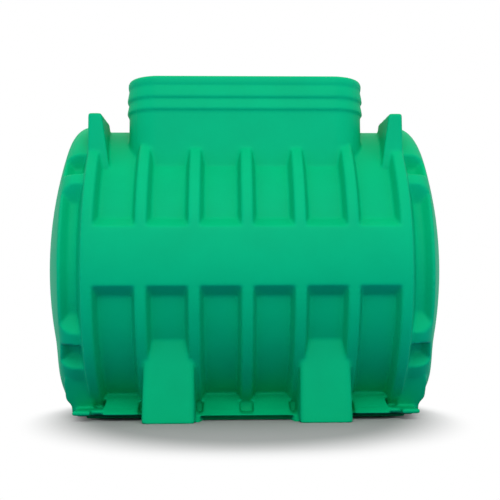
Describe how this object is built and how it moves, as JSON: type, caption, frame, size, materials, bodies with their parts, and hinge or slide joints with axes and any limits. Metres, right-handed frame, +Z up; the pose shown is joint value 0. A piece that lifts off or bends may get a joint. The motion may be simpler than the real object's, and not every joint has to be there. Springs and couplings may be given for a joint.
{
  "type": "underground water tank",
  "caption": "Horizontal ribbed polyethylene barrel tank with an open square access neck, a smooth belt, lifting lugs and moulded feet.",
  "frame": {"origin": "middle of the bottom of the tank's box, on the ground that it stands on", "axes": "+X along the barrel, -Y towards the seen side, +Z up through the access neck"},
  "size_m": [1.3629, 1.07, 1.121],
  "materials": {
    "polyethylene": "satin as moulded"
  },
  "bodies": {
    "root": {"base_floor": "polyethylene", "belt_front": "polyethylene", "belt_rear": "polyethylene", "dished_end_left": "polyethylene", "dished_end_right": "polyethylene", "end_ring_left": "polyethylene", "end_ring_right": "polyethylene", "foot_front_left": "polyethylene", "foot_front_right": "polyethylene", "foot_rear_left": "polyethylene", "foot_rear_right": "polyethylene", "lower_front_bays": "polyethylene", "lower_rear_bays": "polyethylene", "lug_front_left": "polyethylene", "lug_front_right": "polyethylene", "lug_rear_left": "polyethylene", "lug_rear_right": "polyethylene", "neck_corner_front_left": "polyethylene", "neck_corner_front_right": "polyethylene", "neck_corner_rear_left": "polyethylene", "neck_corner_rear_right": "polyethylene", "neck_front_wall": "polyethylene", "neck_left_wall": "polyethylene", "neck_rear_wall": "polyethylene", "neck_right_wall": "polyethylene", "rib_1": "polyethylene", "rib_2": "polyethylene", "rib_3": "polyethylene", "rib_4": "polyethylene", "rib_5": "polyethylene", "shoulder_bottom_left": "polyethylene", "shoulder_bottom_right": "polyethylene", "shoulder_front_left": "polyethylene", "shoulder_front_right": "polyethylene", "shoulder_rear_left": "polyethylene", "shoulder_rear_right": "polyethylene", "shoulder_top_left": "polyethylene", "shoulder_top_right": "polyethylene", "skirt_front": "polyethylene", "skirt_rear": "polyethylene", "top_strip_left": "polyethylene", "top_strip_right": "polyethylene", "upper_front_bays": "polyethylene", "upper_rear_bays": "polyethylene"}
  },
  "joints": []
}
